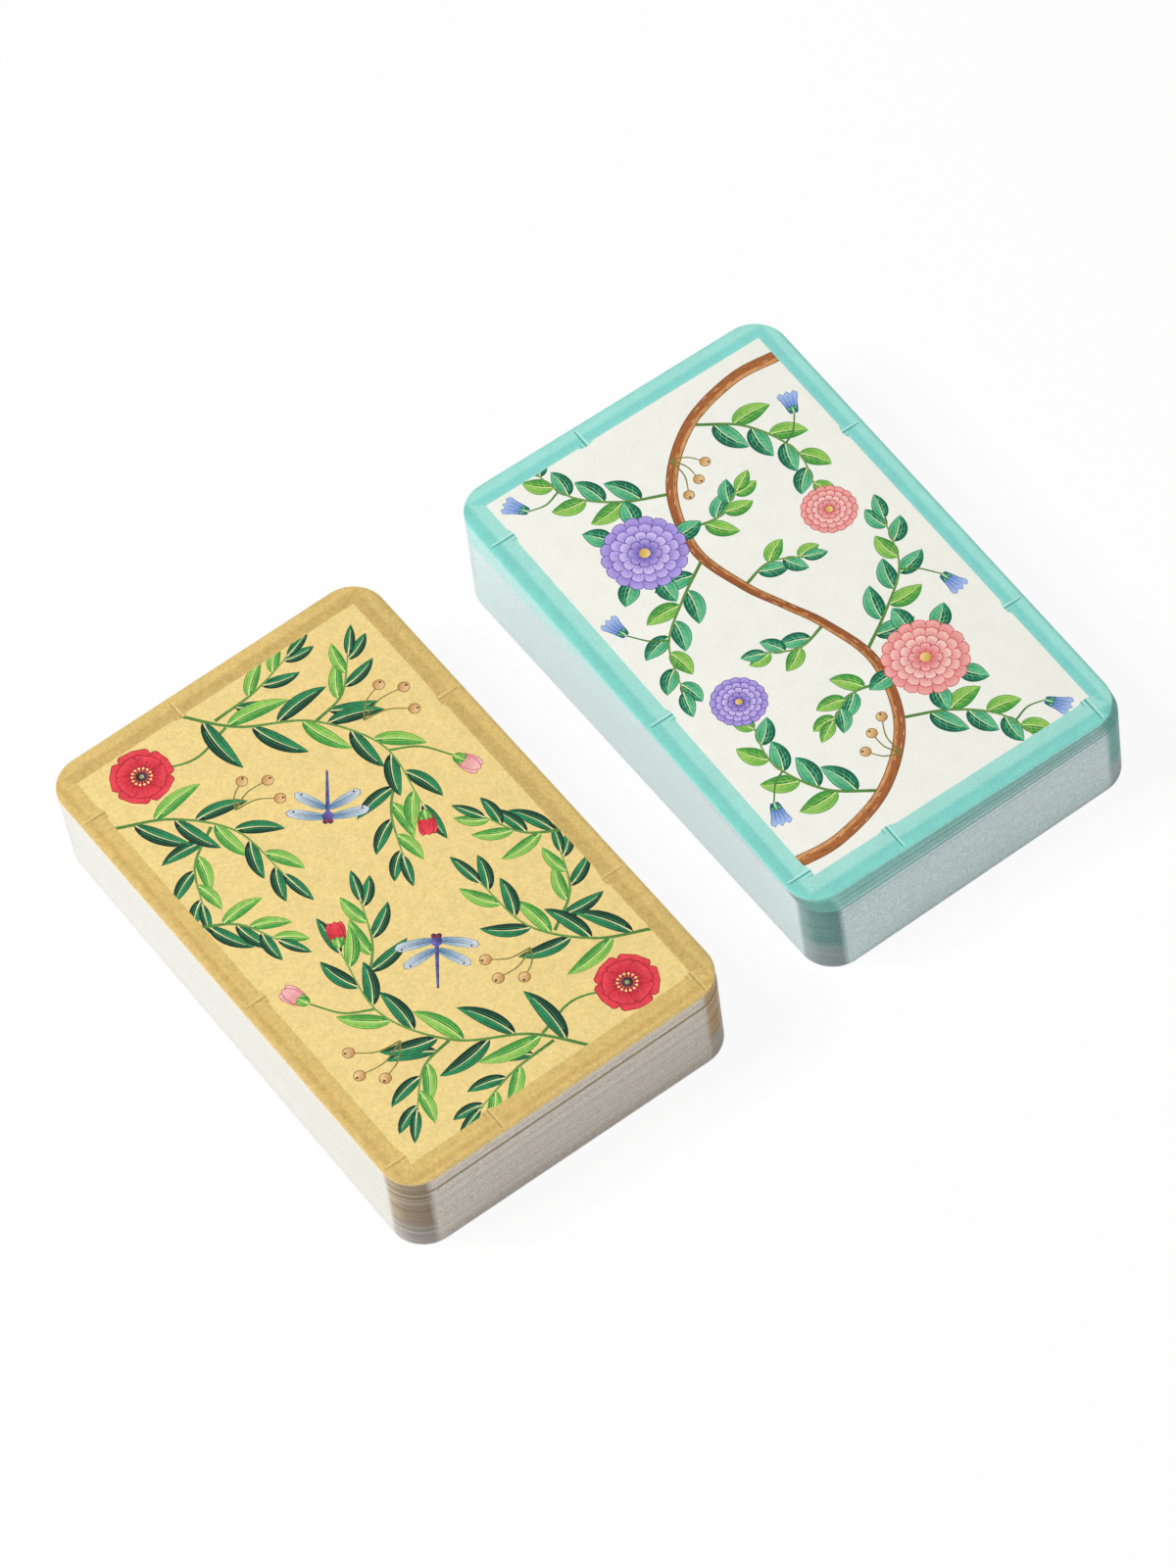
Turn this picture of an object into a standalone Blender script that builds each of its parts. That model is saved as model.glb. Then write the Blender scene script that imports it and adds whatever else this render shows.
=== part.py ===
"""A set of two decks of bridge-size playing cards, lying back-up side by side on a table.

Each deck holds 54 cards: 52 and two jokers. The lower 26 are two packets of 13 squared-up cards, each
one solid. The upper 28 are single cards. Every card lies flat, an air gap above the one below it, at the
small offset and turn that a handled deck takes: a gentle lean, and a few loose cards at the top.

The upper packet can be slid off the lower one, as in a cut. The single cards fan out round a pivot near
one corner, each by an equal step more than the card below it. The top card rides on the fan's last card
and can be pushed off it, as in a deal.

Units are metres, +Z is up. X runs along a card's short side and Y along its long side. The origin is the
middle of the set's outline, on the table.
"""

import math

import bmesh
import bpy
from mathutils import Matrix, Vector

# One card: bridge size, on coated stock
CARD_WIDTH = 0.05715
CARD_LENGTH = 0.0889
CORNER_RADIUS = 0.0055
CORNER_STEPS = 6
CARD_THICKNESS = 0.00028
AIR_GAP = 0.00002
CARD_PITCH = CARD_THICKNESS + AIR_GAP

# One deck, counted from the table up
PACKETS = 2
PACKET_CARDS = 13
DECK_CARDS = 54
FIRST_SINGLE = PACKETS * PACKET_CARDS + 1

# The fan's pivot, in from the deck's near edge and from its side next to the other deck
FAN_PIVOT_INSET = 0.012

# How each deck lies. base is the bottom card's centre and base_turn its turn from the X axis; lean and
# twist are what the stack gains from bottom to top. The loose_cards above card number loose_above each add
# loose_step and loose_turn to that, and any card on top of them goes along with the last one. fan_side is
# +1 where the pivot is at the deck's +X side.
DECKS = {
    "gold": {
        "base": (-0.03661, -0.00125),
        "base_turn": -0.15,
        "lean": (-0.00032, 0.00068),
        "twist": 0.45,
        "loose_above": 46,
        "loose_cards": 1,
        "loose_step": (-0.00008, 0.00010),
        "loose_turn": 0.0,
        "fan_side": 1,
        "colour": (0.58, 0.40, 0.13),
    },
    "teal": {
        "base": (0.03629, -0.00095),
        "base_turn": 0.10,
        "lean": (0.0, 0.00080),
        "twist": -0.45,
        "loose_above": 47,
        "loose_cards": 7,
        "loose_step": (0.000014, 0.000139),
        "loose_turn": -0.1244,
        "fan_side": -1,
        "colour": (0.20, 0.62, 0.56),
    },
}
CARD_ROUGHNESS = 0.45


def clear_scene():
    """Remove whatever the scene starts with."""
    for found in list(bpy.data.objects):
        bpy.data.objects.remove(found, do_unlink=True)


def card_material(deck_name, colour):
    """Coated card stock in the colour of the deck's back."""
    material = bpy.data.materials.new(deck_name + "_card_stock")
    material.use_nodes = True
    shader = material.node_tree.nodes["Principled BSDF"]
    shader.inputs["Base Color"].default_value = (*colour, 1.0)
    shader.inputs["Roughness"].default_value = CARD_ROUGHNESS
    shader.inputs["Metallic"].default_value = 0.0
    return material


def card_outline():
    """The card's rounded rectangle, anticlockwise, as a list of (x, y) about its centre."""
    points = []
    for corner in range(4):
        across = 1 if corner in (0, 3) else -1
        along = 1 if corner in (0, 1) else -1
        centre_x = across * (CARD_WIDTH / 2 - CORNER_RADIUS)
        centre_y = along * (CARD_LENGTH / 2 - CORNER_RADIUS)
        for step in range(CORNER_STEPS + 1):
            angle = math.radians(90 * (corner + step / CORNER_STEPS))
            points.append((
                centre_x + CORNER_RADIUS * math.cos(angle),
                centre_y + CORNER_RADIUS * math.sin(angle),
            ))
    return points


def stock_mesh(name, height, lean=(0.0, 0.0)):
    """The card outline drawn up by height, its top moved sideways by lean: one card, or a leaning packet."""
    shape = bmesh.new()
    base = shape.faces.new([shape.verts.new((x, y, 0.0)) for x, y in card_outline()])
    grown = bmesh.ops.extrude_face_region(shape, geom=[base])
    top = [v for v in grown["geom"] if isinstance(v, bmesh.types.BMVert)]
    bmesh.ops.translate(shape, verts=top, vec=(lean[0], lean[1], height))
    bmesh.ops.recalc_face_normals(shape, faces=shape.faces[:])
    mesh = bpy.data.meshes.new(name)
    shape.to_mesh(mesh)
    shape.free()
    return mesh


def card_lay(deck, number):
    """Where a card lies in its deck: its centre, its turn in degrees and the height of its underside."""
    share = (number - 1) / (DECK_CARDS - 1)
    loose = min(max(0, number - deck["loose_above"]), deck["loose_cards"])
    centre = [
        deck["base"][i] + deck["lean"][i] * share + deck["loose_step"][i] * loose
        for i in (0, 1)
    ]
    turn = deck["base_turn"] + deck["twist"] * share + deck["loose_turn"] * loose
    return Vector(centre), turn, (number - 1) * CARD_PITCH


def placed(name, mesh, centre, turn, height, carrier=None):
    """A new object at that place, carried by an empty where one is given."""
    made = bpy.data.objects.new(name, mesh)
    bpy.context.scene.collection.objects.link(made)
    start = Vector((centre.x, centre.y, height))
    if carrier:
        made.parent = carrier
        start -= carrier.location
    made.location = start
    made.rotation_euler = (0.0, 0.0, math.radians(turn))
    return made


def fan_pivot(deck_name, deck):
    """An empty on the axis that the deck's single cards fan round."""
    pivot = bpy.data.objects.new(deck_name + "_fan_pivot", None)
    bpy.context.scene.collection.objects.link(pivot)
    middle = card_lay(deck, FIRST_SINGLE)[0]
    pivot.location = (
        middle.x + deck["fan_side"] * (CARD_WIDTH / 2 - FAN_PIVOT_INSET),
        middle.y - CARD_LENGTH / 2 + FAN_PIVOT_INSET,
        0.0,
    )
    return pivot


def build_packets(deck_name, deck, material):
    """The squared-up lower half of a deck: packets of cards, each one leaning block."""
    height = PACKET_CARDS * CARD_PITCH - AIR_GAP
    share = height / (DECK_CARDS * CARD_PITCH)
    for packet in range(PACKETS):
        name = deck_name + ("_lower_packet", "_upper_packet")[packet]
        centre, turn, low = card_lay(deck, packet * PACKET_CARDS + 1)
        lean = Vector(deck["lean"]) * share
        lean.rotate(Matrix.Rotation(-math.radians(turn), 2))
        mesh = stock_mesh(name, height, lean)
        mesh.materials.append(material)
        placed(name, mesh, centre, turn, low)


def build_single_cards(deck_name, deck, material):
    """The upper half of a deck: single cards on the fan's pivot, and the top card on its own."""
    pivot = fan_pivot(deck_name, deck)
    mesh = stock_mesh(deck_name + "_card", CARD_THICKNESS)
    mesh.materials.append(material)
    for number in range(FIRST_SINGLE, DECK_CARDS + 1):
        centre, turn, low = card_lay(deck, number)
        carrier = pivot if number < DECK_CARDS else None
        placed(f"{deck_name}_card_{number:02d}", mesh, centre, turn, low, carrier)


def build_set():
    clear_scene()
    for deck_name, deck in DECKS.items():
        material = card_material(deck_name, deck["colour"])
        build_packets(deck_name, deck, material)
        build_single_cards(deck_name, deck, material)


build_set()
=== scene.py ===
"""The looks of two decks of bridge cards that lie back-up, side by side, on a plain pale floor.

Each of the 108 cards is a card of its own: a printed back, a cut paper edge and a printed face. A print is
a flat sheet whose points are complex numbers in millimetres: x runs along the card's short side and y along
its long side. It is a list of inked areas, each over those before it. The sheet is cut along the edges of
all the areas, and each cut piece takes the ink of the uppermost area that covers it.
"""

from collections import namedtuple

import bpy
import numpy as np
from mathutils import Matrix, Vector
from mathutils.geometry import delaunay_2d_cdt


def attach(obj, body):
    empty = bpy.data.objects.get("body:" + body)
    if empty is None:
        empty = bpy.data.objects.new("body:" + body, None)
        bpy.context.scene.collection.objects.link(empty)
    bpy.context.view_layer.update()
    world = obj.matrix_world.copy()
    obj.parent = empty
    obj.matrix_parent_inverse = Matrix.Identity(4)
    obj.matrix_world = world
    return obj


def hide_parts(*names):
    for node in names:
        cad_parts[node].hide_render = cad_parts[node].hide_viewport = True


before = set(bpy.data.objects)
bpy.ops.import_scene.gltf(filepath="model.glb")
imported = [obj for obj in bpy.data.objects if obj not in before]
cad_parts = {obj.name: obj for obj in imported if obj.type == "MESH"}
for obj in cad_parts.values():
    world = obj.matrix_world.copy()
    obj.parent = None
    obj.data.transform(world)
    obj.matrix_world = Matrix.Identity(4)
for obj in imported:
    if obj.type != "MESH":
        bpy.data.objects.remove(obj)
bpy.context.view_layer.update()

MM = 0.001

# The camera of the photograph, in degrees and metres
CAMERA_AZIMUTH = -32.011
CAMERA_ELEVATION = 57.179
CAMERA_ROLL = -5.650
CAMERA_DISTANCE = 1.12508
CAMERA_TARGET = Vector((-0.00447, -0.00609, 0.01618))
CAMERA_LENS = 180.0

# The stock of a card in millimetres, and the points that draw each of its corners
CARD_WIDTH = 57.15
CARD_LENGTH = 88.9
CORNER_RADIUS = 5.5
CORNER_POINTS = 19
# From one card's underside to the next one's
CARD_PITCH = 0.30
PACKET_CARDS = 13
LAST_IN_PACKETS = 2 * PACKET_CARDS
DECK_CARDS = 54
DECKS = ("gold", "teal")

# The cut edge from the back down to the face: share of the thickness, how far it is rounded in, and the
# tone of the band below: a rim of coating, the paper ply, the darker glue line in the core, and a painted
# shadow line at the foot, where the card lies on the one below
EDGE_ROUND = 0.035
EDGE_RINGS = (
    (1.00, EDGE_ROUND, 1.06),
    (0.90, 0.008, 1.03),
    (0.78, 0.0, 1.0),
    (0.54, 0.0, 0.88),
    (0.46, 0.0, 1.0),
    (0.22, 0.0, 0.94),
    # Painted shadow line where the card lies on the one below
    (0.10, 0.008, 0.72),
    (0.00, EDGE_ROUND, 0.0),
)
# How much of the border's ink the rim still carries
RIM_INK = 0.35
# The top cards' edges are the ones most handled: border ink is wiped all over them, by card number. Its
# colour is lighter than the border's, a painted highlight of their rounded edges in the light from above
TOP_EDGE_WIPE_AND_HIGHLIGHT_SHARE = {53: 0.3, 54: 0.7}
TOP_EDGE_WIPE_AND_HIGHLIGHT = {"gold": "#eed7a0", "teal": "#b5efe6"}

# The cards that a cut, a fan or a deal lays open get all of the back's print. The others get none of its
# motifs inside the packets, and the larger motifs on the cards of the fan
FULL_PRINTS = (13, 26, 53, 54)

# A handled deck: how far cards stray from the stack, in millimetres and degrees, and how much their edges
# differ in tone and in the ink on their corners
STRAY = 0.002
STRAY_TURN = 0.005
STRAY_TONE = {"gold": 0.030, "teal": 0.018}
STRAY_PUNCH = {"gold": 0.20, "teal": 0.05}
# The next values are for the right, far, left and near side. How bright the lowest card's edge is against
# the top card's, which the others near as their share of the deck's height to the power that follows: a
# painted shade that darkens the edges towards the floor
LOW_CARD_SHADE = {"gold": (0.95, 0.95, 1.0, 0.88), "teal": (0.95, 0.95, 0.78, 1.0)}
LOW_CARD_SHADE_FADE = 0.6
# How strongly single cards stand out, and how coarse the cut is. The lines stand out most on the near side
# and least on the left: painted shade, as the near side lies in shade and the left side in the light
SIDE_LINES = {"gold": (0.7, 0.5, 0.4, 1.0), "teal": (0.7, 0.5, 0.05, 1.0)}
SIDE_GRIT = (0.8, 0.6, 0.4, 1.0)
# Cards whose edges stand out as lines on the deck's sides: the tone, and how much ink handling rubs on. The
# dark lines with much ink, gold 46 and the teal's loose cards on top, are painted shade of the gaps between
# cards, and the top gold card's tone above 1 is partly a painted highlight of its rounded edge
EDGE_LINES = {
    "gold": {
        3: (0.78, 0.1), 4: (1.04, 0.0), 5: (0.9, 0.12), 6: (0.92, 0.08), 8: (0.94, 0.05), 12: (0.9, 0.0),
        21: (0.9, 0.1), 33: (0.88, 0.1), 39: (0.9, 0.1), 44: (1.1, 0.0), 45: (0.95, 0.15), 46: (0.6, 0.7),
        47: (1.05, 0.0), 48: (1.08, 0.0), 49: (1.06, 0.0), 50: (0.92, 0.15), 51: (1.06, 0.0),
        52: (1.1, 0.0), 53: (1.06, 0.0), 54: (1.12, 0.0),
    },
    "teal": {
        2: (0.9, 0.1), 40: (0.95, 0.1), 44: (0.86, 0.2), 47: (0.7, 0.3), 48: (1.0, 0.08), 49: (0.84, 0.25),
        50: (1.0, 0.35), 51: (0.78, 0.48), 52: (1.0, 0.36), 53: (0.76, 0.52), 54: (1.0, 0.3),
    },
}

# Where a card's prints and edge lie in its texture, as (left, low, wide, high). The prints inside a packet
# share one patch. The edge lies in strips, with this share of a strip free on either side of it
BACK_PATCH = (0.005, 0.005, 0.635, 0.988)
FACE_PATCH = (0.655, 0.005, 0.335, 0.521)
HIDDEN_PATCH = (0.655, 0.540, 0.064, 0.100)
EDGE_PATCH = (0.655, 0.650, 0.335, 0.345)
STRIP_MARGIN = 0.1

# Border round each back, in millimetres: right, far, left, near side
BORDER = {"gold": (3.9, 3.7, 3.8, 4.0), "teal": (3.3, 3.55, 4.2, 4.5)}
# Where the border's canes have joints: side, and the place along it
CANE_JOINTS = (
    (0, 19.4), (0, -20.0), (1, -6.4), (2, 34.2), (2, -5.5), (2, -39.0), (3, -11.2), (3, 24.5),
)

# Inks of the backs' ground and cane
GROUND = {"gold": "#eed48d", "teal": "#f6f6ec"}
# The cane's tones by share of its depth from the card's edge: sides turned to its light, then the others
CANE_LIT = {
    "gold": ((0, "#d3b670"), (0.20, "#dcbd76"), (0.34, "#d0af68"), (0.43, "#d0af67"), (0.55, "#dbbc73"),
             (1, "#d9bb72")),
    "teal": ((0, "#8cd9ce"), (0.15, "#87d9ce"), (0.42, "#82d3c9"), (0.58, "#a4e2d7"), (1, "#a8e2d6")),
}
CANE_SHADED = {
    "gold": ((0, "#dcbe75"), (0.42, "#dbbd75"), (0.58, "#cdad69"), (0.90, "#cdae69"), (1, "#d4b670")),
    "teal": ((0, "#96ddd3"), (0.20, "#a2e4d9"), (0.44, "#a2e4d9"), (0.62, "#85d7cf"), (0.86, "#88d8cf"),
             (1, "#9bded4")),
}
JOINT_DARK = {"gold": "#bf9e62", "teal": "#5bb0a6"}
JOINT_LIGHT = {"gold": "#e2c680", "teal": "#bdece2"}
# A joint of the cane: half its length, how far it swells, how far under the cane's inner edge that starts
# and has its foot, how far its lines stay off the card's edge and run into the field, and the lines as
# (shift along the cane, width, inks, first of the five points across the cane)
JOINT_REACH = 2.6
JOINT_SWELL = 0.72
JOINT_TUCK = 0.3
JOINT_FOOT = 0.34
JOINT_INSET = 0.7
JOINT_OVERRUN = 0.36
JOINT_LINES = (
    (0.34, 0.34, JOINT_LIGHT, 0),
    (0.0, 0.34, JOINT_DARK, 0),
    (-0.75, 0.16, JOINT_DARK, 3),
)
# Inks of the motifs: a leaf's rim, low and high green, dark half and rib, and a petal's rim, foot and tip
LEAF_INKS = {
    "deep": ("#123a2a", "#1d5b3c", "#2f8a57", "#0d2b20", "#e9dca6"),
    "fresh": ("#3d8a3a", "#63ad45", "#9ccb62", "#3f8f3f", "#dfe79a"),
    "sea": ("#176046", "#2b9469", "#6cc08e", "#145c44", "#d8e8b4"),
}
PETAL_INKS = {
    "red": ("#8e1220", "#b3122a", "#ea4a55"),
    "rose": ("#b44a55", "#d9707a", "#f8c3bf"),
}
DAHLIA_INKS = {
    "coral": (("#c9474f", "#d75a5f", "#f6b3ac"), ("#cf4d55", "#e0686c", "#fbcabf"),
              ("#c84550", "#e57478", "#fdd9cf"), ("#b93a48", "#dd5f66", "#f8b9b2")),
    "violet": (("#5a479f", "#6f5bb8", "#b8a6e6"), ("#614da8", "#7d68c6", "#cbbcf0"),
               ("#5c48a4", "#8a76cf", "#d8ccf5"), ("#4c3a8f", "#6c58b6", "#b6a4e4")),
}
STEM_INKS = ("#4f7d3a", "#7da653")
STALK_INK = "#5c8a41"
# Single motifs: the inks of rims and lines first, then the two ends of each blend
BERRY_INKS = ("#7d7a3c", "#8a5f33", "#6b4426", "#c58f52", "#f0cf97")
DAHLIA_EYE_INKS = ("#c89a3f", "#f5dd8c")
STAMEN_INKS = ("#f1d27a", "#f6e3a0")
BOSS_INKS = ("#2c1a20", "#5b4450")
BOSS_TOP_INKS = ("#6d7a4a", "#b9c07d")
BELL_INKS = ("#2f4f9a", "#4a72c4", "#a9c3ee")
WING_INKS = ("#3c4a7c", "#2e3c6d", "#47639a", "#3b2a3f", "#4f86a8", "#d7dfe0")
TAIL_INKS = (("#241c3a", "#6f66b4"), ("#3d3470", "#5a7fb0"))
BODY_INKS = ("#2b2450", "#7a72c0")
EYE_INKS = ("#1d1630", "#8d3f5a")
BARK_INKS = ("#6f3f22", "#a9683a", "#96582f", "#d59a63", "#c08450")
BARK_MARK_INKS = ("#7a4626", "#8a4f2b", "#e3b17e")

# Paper edge on the right, far, left and near side: the gold's is cooler on the left and warmer on the near
# side, a painted tint of light on the one and of shade on the other. Then the ink that handling rubs
# onto it, which on some cards is painted shade of the gaps between cards
PAPER = {
    "gold": ("#e4e1da", "#e4e1da", "#e2e2dd", "#e4ddd6"),
    "teal": ("#e5eff0",) * 4,
}
RUBBED_INK_AND_GAP_SHADE = {"gold": "#9d8b72", "teal": "#7aaea6"}
# The ink that the punch drags over the corners at far right, far left, near left and near right: where each
# corner's arc starts, and from PUNCH_FADE of the arc onwards
PUNCHED = {
    "gold": ("#9d8b72", "#9d8b72", "#a2854a", "#b08d58"),
    "teal": ("#769b94", "#769b94", "#6f9891", "#68b0a3"),
}
PUNCHED_ON = {"gold": ("#9d8b72", "#9d8b72", "#94826a", "#b08d58"), "teal": PUNCHED["teal"]}
PUNCH_FADE = 0.4
# The grey that is there instead up to the first of these two cards, and gone from the second on: painted
# contact shade near the floor
CONTACT_SHADE_GREY = {"gold": "#a09b94", "teal": "#929a98"}
PUNCH_RISE = (11, 23)
# For the same corners: how much ink, how much of it on the lowest cards, and the places along the corner's
# arc, anticlockwise, where the ink has the shares in PUNCH_STOPS
PUNCH_SHARE = np.array([0.7, 0.2, 1.0, 0.85])
PUNCH_LOWEST = np.array([0.6, 0.6, 0.9, 0.7])
PUNCH_STOPS = (0.0, 0.7, 1.0, 1.0, 0.0)
PUNCH_ARC = (
    (0.2, 0.26, 0.3, 0.8, 1.0),
    (0.0, 0.06, 0.1, 0.9, 1.0),
    (0.01, 0.09, 0.38, 0.80, 0.87),
    (0.04, 0.1, 0.13, 0.36, 0.72),
)
# No edge gets lighter than this, in linear light
EDGE_LIGHTEST = 0.92

Inked = namedtuple("Inked", "outline inks start end fine")
Sheet = namedtuple("Sheet", "points triangles inks")
Lay = namedtuple("Lay", "centre turn foot head")


def ink(code):
    """An sRGB hex colour as linear light: s / 12.92 near black, else ((s + 0.055) / 1.055) ^ 2.4."""
    share = np.array([int(code[i:i + 2], 16) for i in (1, 3, 5)]) / 255
    return np.where(share <= 0.04045, share / 12.92, ((share + 0.055) / 1.055) ** 2.4)


# Drawing with inked areas


def area(outline, first, second=None, start=0, end=1, fine=False):
    """A closed outline filled with one ink, or with a straight blend of two from start to end."""
    return Inked(np.asarray(outline, complex), (ink(first), ink(second or first)), start, end, fine)


def turned(areas, turn, place=0, size=1.0):
    """The areas turned by degrees, scaled and moved: z becomes place + size e^(i turn) z."""
    f = size * np.exp(1j * np.radians(turn))
    return [
        a._replace(outline=place + f * a.outline, start=place + f * a.start, end=place + f * a.end)
        for a in areas
    ]


def mirrored(areas):
    """The areas mirrored across the x axis."""
    return [
        a._replace(outline=a.outline.conj(), start=np.conj(a.start), end=np.conj(a.end))
        for a in areas
    ]


def sweep(knots, steps=10):
    """A smooth curve through the knots: each stretch is the Catmull-Rom cubic of its four nearest knots."""
    knots = np.asarray(knots, complex)
    ends = np.concatenate([[2 * knots[0] - knots[1]], knots, [2 * knots[-1] - knots[-2]]])
    t = np.linspace(0, 1, steps, endpoint=False)
    a, b, c, d = (ends[i:len(ends) - 3 + i, None] for i in range(4))
    bow = (c - a) * t + (2 * a - 5 * b + 4 * c - d) * t ** 2 + (3 * b - a - 3 * c + d) * t ** 3
    return np.append((b + 0.5 * bow).ravel(), knots[-1])


def band(path, left, right=None):
    """The outline round a path: the path moved to its left by left, then back along its right by right."""
    right = left if right is None else right
    way = np.gradient(path)
    aside = 1j * way / np.abs(way)
    return np.concatenate([path + aside * left, (path - aside * right)[::-1]])


def stroke(path, broad, narrow, first, second=None, fine=False):
    """A pen stroke along the path whose width falls evenly from broad to narrow."""
    path = np.asarray(path, complex)
    half = np.linspace(broad, narrow, len(path)) / 2
    return area(band(path, half), first, second, path[0], path[-1], fine)


def blade(length, width, bend=0.0, root=0.7, tip=0.9, steps=13):
    """A leaf or petal along +x: half its width goes as t^root (1 - t)^tip, and its spine turns by bend."""
    t = np.linspace(0, 1, steps)
    rise = t ** root * (1 - t) ** tip
    half = width / 2 * rise / rise.max()
    spine = length * t * np.exp(1j * bend * t)
    aside = 1j * np.exp(2j * bend * t)
    return spine, spine + aside * half, spine - aside * half


def loop(there, back):
    """One closed outline out of two lines that share both their ends."""
    return np.concatenate([there[:-1], back[:0:-1]])


def disc(radius, first, second=None, centre=0, steps=14, fine=False):
    """A round spot whose ink blends towards its upper left."""
    ring = centre + radius * np.exp(2j * np.pi * np.arange(steps) / steps)
    lean = radius * np.exp(0.75j * np.pi)
    return area(ring, first, second, centre - lean, centre + lean, fine)


def along(path, share):
    """The point at a share of a path's length, and the path's heading there in degrees."""
    run = np.concatenate([[0], np.cumsum(np.abs(np.diff(path)))])
    at = share * run[-1]
    point = np.interp(at, run, path.real) + 1j * np.interp(at, run, path.imag)
    heading = np.interp(at, run, np.unwrap(np.angle(np.gradient(path))))
    return point, np.degrees(heading)


# Motifs of the backs

# Widths of pen strokes where they start and end, in millimetres
STEM = (0.55, 0.22)
FLOWER_STALK = (0.5, 0.3)
BUD_STALK = (0.42, 0.28)
BELL_STALK = (0.34, 0.22)
BERRY_STALK = (0.28, 0.16)
RIB = (0.24, 0.07)
VEIN = (0.11, 0.05)
BRUSH = (0.17, 0.05)
PETAL_LINE = (0.16, 0.03)
BELL_LINE = (0.12, 0.05)
STAMEN = (0.07, 0.05)
WING_RIB = (0.14, 0.05)
WING_VEIN = (0.10, 0.04)
BARK_MARK = (0.16, 0.05)
# How far the dark rims of stems, leaves and petals stand out, at their sides and in all at their ends
BARK_RIM = 0.12
LEAF_RIM = 0.13
LEAF_RIM_LENGTH = 0.16
PETAL_RIM = 0.1
PETAL_RIM_LENGTH = 0.12
# A dahlia's rings: petals, and the inner and outer share of its radius
DAHLIA_RINGS = ((17, 0.50, 1.0), (15, 0.34, 0.80), (12, 0.20, 0.59), (8, 0.06, 0.38))
STAMENS = 14
VINE_MARKS = 78


def leaf(length, width, kind, bend=0.0, veins=0):
    """A leaf along +x in two halves, one lit and one dark, in a dark rim. Brush streaks follow the spine at
    a share of the way to the leaf's edge. A pale rib and fine veins lie over them. The points of its spine
    and edges are numbered 0 to 12 from the foot."""
    rim, low, high, dark, rib = LEAF_INKS[kind]
    _, rim_left, rim_right = blade(length + LEAF_RIM_LENGTH, width + 2 * LEAF_RIM, bend)
    spine, left, right = blade(length, width, bend)
    parts = [
        area(loop(rim_left, rim_right) - LEAF_RIM_LENGTH / 2, rim, fine=True),
        area(loop(left, spine), low, high, spine[0], left[7]),
        area(loop(spine, right), dark, low, right[8], spine[-1]),
    ]
    middle = slice(2, 11)
    for share, side, code in ((0.3, left, high), (0.66, left, low), (0.36, right, high), (0.7, right, low)):
        streak = spine[middle] + share * (side[middle] - spine[middle])
        parts.append(stroke(streak, *BRUSH, code, fine=True))
    for at in np.linspace(3, 8, veins).astype(int):
        for side, code in ((left, low), (right, high)):
            vein = spine[at] + np.array([0, 0.41, 0.82]) * (side[at + 2] - spine[at])
            parts.append(stroke(vein, *VEIN, code, fine=True))
    parts.append(stroke(spine[:-2], *RIB, rib, fine=True))
    return parts


def sprig(knots, leaves, length, width, kinds, first=0.14, spread=52, veins=0, bend=0.25):
    """A stem through the knots with leaves to its right and left in turn, smaller towards the tip."""
    path = sweep(knots)
    parts = []
    for k, share in enumerate(np.linspace(first, 0.94, leaves)):
        point, heading = along(path, share)
        side = 1 if k % 2 else -1
        size = 1.0 - 0.38 * share
        kind = kinds[k % len(kinds)]
        grown = leaf(length * size, width * (0.55 + 0.45 * size), kind, -side * bend, veins)
        parts += turned(grown, heading + side * (spread - 14 * share), point)
    parts.append(stroke(path, *STEM, *STEM_INKS))
    point, heading = along(path, 1.0)
    return parts + turned(leaf(length * 0.66, width * 0.7, kinds[0], 0.05, veins), heading, point)


def berries(foot, places, radius=0.8):
    """Round berries on thin bowed stalks that meet at the foot, lit at the upper left, with a dark eye."""
    stalk, rim, eye, dark, light = BERRY_INKS
    parts = []
    for place in places:
        middle = (place + foot) / 2 + 0.12j * (place - foot)
        parts.append(stroke(sweep([foot, middle, place], 6), *BERRY_STALK, stalk))
    for place in places:
        away = (place - foot) / abs(place - foot)
        parts += [
            disc(radius + LEAF_RIM, rim, None, place, fine=True),
            disc(radius, dark, light, place),
            disc(radius * 0.28, eye, None, place + away * radius * 0.62, 7, True),
        ]
    return parts


def petal(length, width, inks, bend, root, tip, steps):
    """A petal along +x, blended from foot to tip, on a dark rim that is a little larger."""
    rim, foot, head = inks
    _, rim_left, rim_right = blade(length + PETAL_RIM_LENGTH, width + 2 * PETAL_RIM, bend, root, tip, steps)
    spine, left, right = blade(length, width, bend, root, tip, steps)
    return [
        area(loop(rim_left, rim_right), rim, fine=True),
        area(loop(left, right), foot, head, spine[0], spine[-1]),
    ]


def petal_ring(count, inner, outer, width, inks, phase, root=0.9, tip=0.32, streaks=2):
    """Petals all round from the inner to the outer radius, each with fine streaks."""
    length = outer - inner
    one = petal(length, width, inks, 0, root, tip, 12)
    for lie in (np.arange(streaks) - (streaks - 1) / 2) * 0.5 * width / streaks:
        line = np.array([0.1, 0.4, 0.72]) * length + 1j * lie * np.array([0.25, 0.8, 1.0])
        one.append(stroke(line, *PETAL_LINE, inks[0], fine=True))
    parts = []
    for turn in phase + 360 / count * np.arange(count):
        parts += turned(one, turn, inner * np.exp(1j * np.radians(turn)))
    return parts


def dahlia(radius, tone):
    """A round, many-petalled flower: rings of petals, each over the one outside it, and a pale eye."""
    parts = []
    for k, (count, inner, outer) in enumerate(DAHLIA_RINGS):
        width = 2.04 * np.pi * radius * (0.35 * inner + 0.65 * outer) / count
        parts += petal_ring(count, inner * radius, outer * radius, width, DAHLIA_INKS[tone][k], 18 * k)
    return parts + [disc(radius * 0.13, *DAHLIA_EYE_INKS)]


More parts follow.
